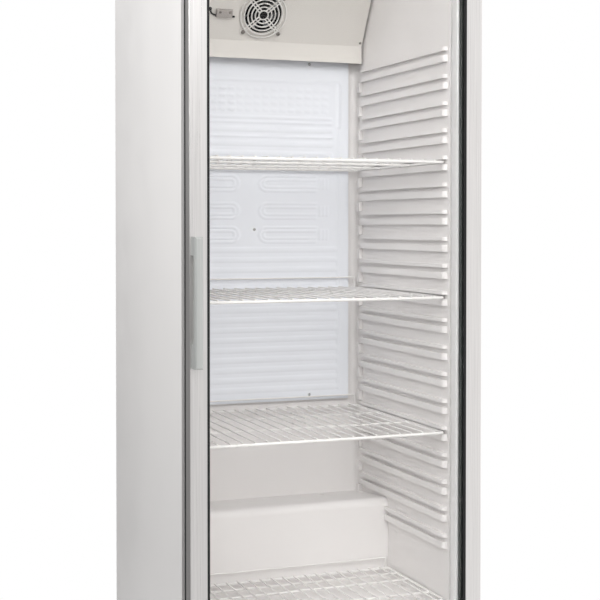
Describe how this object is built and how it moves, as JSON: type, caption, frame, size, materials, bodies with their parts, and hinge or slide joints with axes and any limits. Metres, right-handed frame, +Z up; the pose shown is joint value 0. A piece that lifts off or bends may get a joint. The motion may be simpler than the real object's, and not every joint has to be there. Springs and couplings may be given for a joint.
{
  "type": "reach in refrigerator",
  "caption": "Upright reach-in refrigerator with one hinged glass door, wire shelves on moulded supports, a cold plate, a fan cover and a machine room under a rear step.",
  "frame": {"origin": "on the floor, under the middle of the whole outline", "axes": "+Z up, the door faces -Y, +X to the right of someone facing the door"},
  "size_m": [0.6, 0.61, 1.85],
  "materials": {
    "white_paint": "semi-gloss white powder coat",
    "galvanised": "galvanised sheet",
    "foam": "rigid foam skin",
    "white_abs": "satin moulded sheet",
    "white_wire": "plastic-coated wire",
    "plate_coat": "coated aluminium",
    "brushed_aluminium": "brushed and anodised",
    "clear_glass": "clear",
    "black_rubber": "matte black",
    "black_plastic": "matte black",
    "grey_seal": "soft light grey",
    "grey_plastic": "matte",
    "bright_steel": "plated",
    "lamp_cover": "opal",
    "black_steel": "black enamel",
    "condenser_metal": "mill finish",
    "copper": "bare copper",
    "foot_metal": "zinc plated"
  },
  "bodies": {
    "cabinet": {"back_panel": "galvanised", "base_pan": "galvanised", "cable_gland": "black_rubber", "ceiling_lamp": "lamp_cover", "compressor": "black_steel", "compressor_rubbers": "black_rubber", "condenser_coil": "condenser_metal", "condenser_shroud": "galvanised", "control_fascia": "white_paint", "controller_body": "black_plastic", "drain_tube": "grey_plastic", "evaporation_tray": "black_plastic", "evaporator_plate": "plate_coat", "fan_cover": "white_paint", "fan_frame": "black_plastic", "fan_guard": "white_wire", "foam_insulation": "foam", "front_frame": "white_paint", "hinge_bracket_bottom": "galvanised", "hinge_bracket_top": "galvanised", "inner_liner": "white_abs", "kick_plate": "white_paint", "lock_sleeve": "bright_steel", "pan_screws": "bright_steel", "plate_standoffs": "white_abs", "probe_bracket": "grey_plastic", "probe_grommet": "black_rubber", "probe_lead": "black_rubber", "rear_grille": "galvanised", "refrigerant_pipes": "copper", "side_panel_left": "white_paint", "side_panel_right": "white_paint", "temperature_probe": "black_plastic", "top_panel": "white_paint"},
    "door": {"door_rail_left": "brushed_aluminium", "door_rail_right": "brushed_aluminium", "door_rail_top": "brushed_aluminium", "door_rail_bottom": "brushed_aluminium", "door_thermal_break": "black_plastic", "door_inner_frame": "white_abs", "door_gasket": "grey_seal", "glass_panes": "clear_glass", "glass_spacer": "black_plastic", "glazing_bead": "black_rubber", "door_handle": "brushed_aluminium", "hinge_bushes": "white_abs"},
    "lock_barrel": {"lock_barrel": "bright_steel"},
    "key_set": {"key_set": "grey_plastic"},
    "key_up": {"key_up": "grey_plastic"},
    "key_down": {"key_down": "grey_plastic"},
    "fan_rotor": {"fan_rotor": "black_plastic"},
    "condenser_fan_rotor": {"condenser_fan_rotor": "black_plastic"},
    "shelf_upper": {"shelf_upper": "white_wire"},
    "shelf_middle": {"shelf_middle": "white_wire"},
    "shelf_lower": {"shelf_lower": "white_wire"},
    "shelf_bottom": {"shelf_bottom": "white_wire"},
    "foot_front_left": {"foot_front_left": "foot_metal"},
    "foot_front_right": {"foot_front_right": "foot_metal"},
    "foot_rear_left": {"foot_rear_left": "foot_metal"},
    "foot_rear_right": {"foot_rear_right": "foot_metal"}
  },
  "joints": [
    {"name": "door_swing", "type": "hinge", "parent": "cabinet", "child": "door", "pos_m": [0.288, -0.267, 0.9], "axis": [0, 0, 1], "range_deg": [0, 115]},
    {"name": "lock_turn", "type": "hinge", "parent": "cabinet", "child": "lock_barrel", "pos_m": [-0.254, -0.28, 1.758], "axis": [0, 1, 0], "range_deg": [0, 90]},
    {"name": "air_fan_spin", "type": "hinge", "parent": "cabinet", "child": "fan_rotor", "pos_m": [0, 0.16947, 1.46311], "axis": [0, -0.8747, -0.4846], "continuous": true},
    {"name": "condenser_fan_spin", "type": "hinge", "parent": "cabinet", "child": "condenser_fan_rotor", "pos_m": [-0.148, 0.167, 0.152], "axis": [0, 1, 0], "continuous": true},
    {"name": "key_set_press", "type": "slide", "parent": "cabinet", "child": "key_set", "axis": [0, 1, 0], "range_m": [0, 0.001], "stiffness_N_per_m": 600, "springref_m": -0.0005},
    {"name": "key_up_press", "type": "slide", "parent": "cabinet", "child": "key_up", "axis": [0, 1, 0], "range_m": [0, 0.001], "stiffness_N_per_m": 600, "springref_m": -0.0005},
    {"name": "key_down_press", "type": "slide", "parent": "cabinet", "child": "key_down", "axis": [0, 1, 0], "range_m": [0, 0.001], "stiffness_N_per_m": 600, "springref_m": -0.0005},
    {"name": "shelf_upper_slide", "type": "slide", "parent": "cabinet", "child": "shelf_upper", "axis": [0, -1, 0], "range_m": [0, 0.01]},
    {"name": "shelf_middle_slide", "type": "slide", "parent": "cabinet", "child": "shelf_middle", "axis": [0, -1, 0], "range_m": [0, 0.01]},
    {"name": "shelf_lower_slide", "type": "slide", "parent": "cabinet", "child": "shelf_lower", "axis": [0, -1, 0], "range_m": [0, 0.01]},
    {"name": "shelf_bottom_slide", "type": "slide", "parent": "cabinet", "child": "shelf_bottom", "axis": [0, -1, 0], "range_m": [0, 0.01]},
    {"name": "foot_front_left_turn", "type": "hinge", "parent": "cabinet", "child": "foot_front_left", "pos_m": [-0.255, -0.183, 0.03], "axis": [0, 0, 1], "continuous": true},
    {"name": "foot_front_right_turn", "type": "hinge", "parent": "cabinet", "child": "foot_front_right", "pos_m": [0.255, -0.183, 0.03], "axis": [0, 0, 1], "continuous": true},
    {"name": "foot_rear_left_turn", "type": "hinge", "parent": "cabinet", "child": "foot_rear_left", "pos_m": [-0.255, 0.26, 0.03], "axis": [0, 0, 1], "continuous": true},
    {"name": "foot_rear_right_turn", "type": "hinge", "parent": "cabinet", "child": "foot_rear_right", "pos_m": [0.255, 0.26, 0.03], "axis": [0, 0, 1], "continuous": true}
  ]
}
